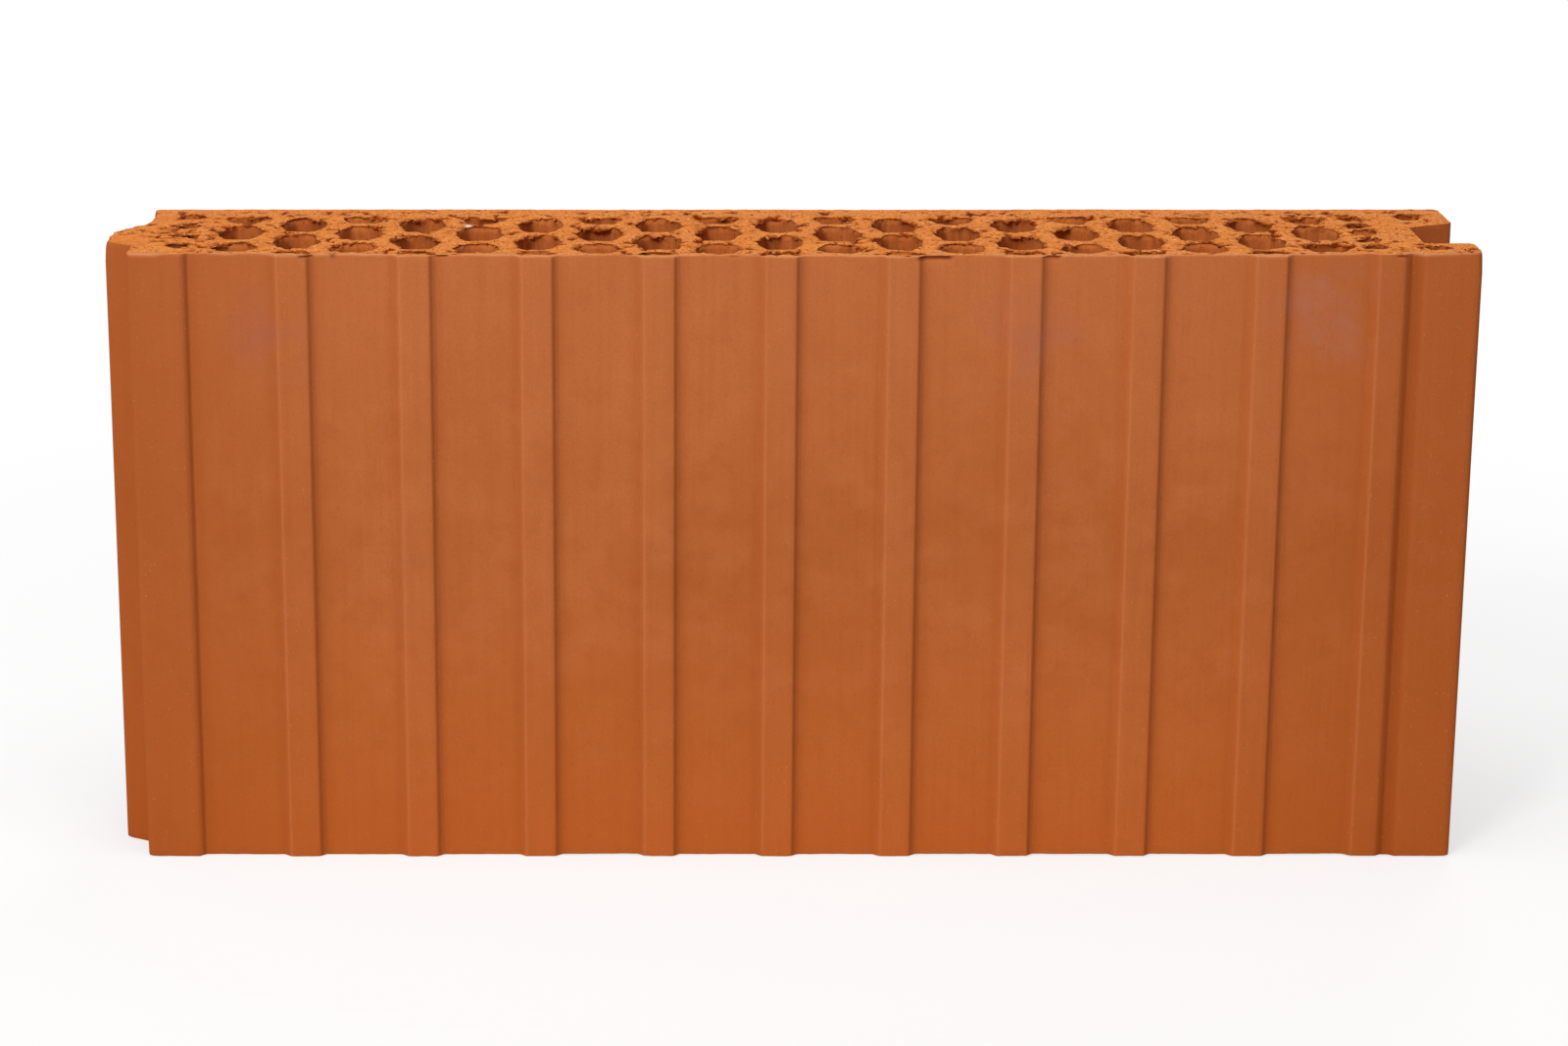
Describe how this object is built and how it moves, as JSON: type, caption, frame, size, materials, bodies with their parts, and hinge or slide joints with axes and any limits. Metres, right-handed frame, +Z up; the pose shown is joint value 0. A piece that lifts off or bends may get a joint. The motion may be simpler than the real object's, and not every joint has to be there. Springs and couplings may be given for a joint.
{
  "type": "hollow clay brick",
  "caption": "Upright perforated clay block for partition walls, with ribbed front, honeycomb cells and a tongue and groove at its ends.",
  "frame": {"origin": "middle of the block's box at the bed face it stands on", "axes": "+X along the block from the tongue end to the groove end, +Y from the ribbed face to the plain face, +Z up along the cells"},
  "size_m": [0.511, 0.08, 0.238],
  "materials": {
    "fired_clay": "matte"
  },
  "bodies": {
    "root": {"clay_block": "fired_clay"}
  },
  "joints": []
}
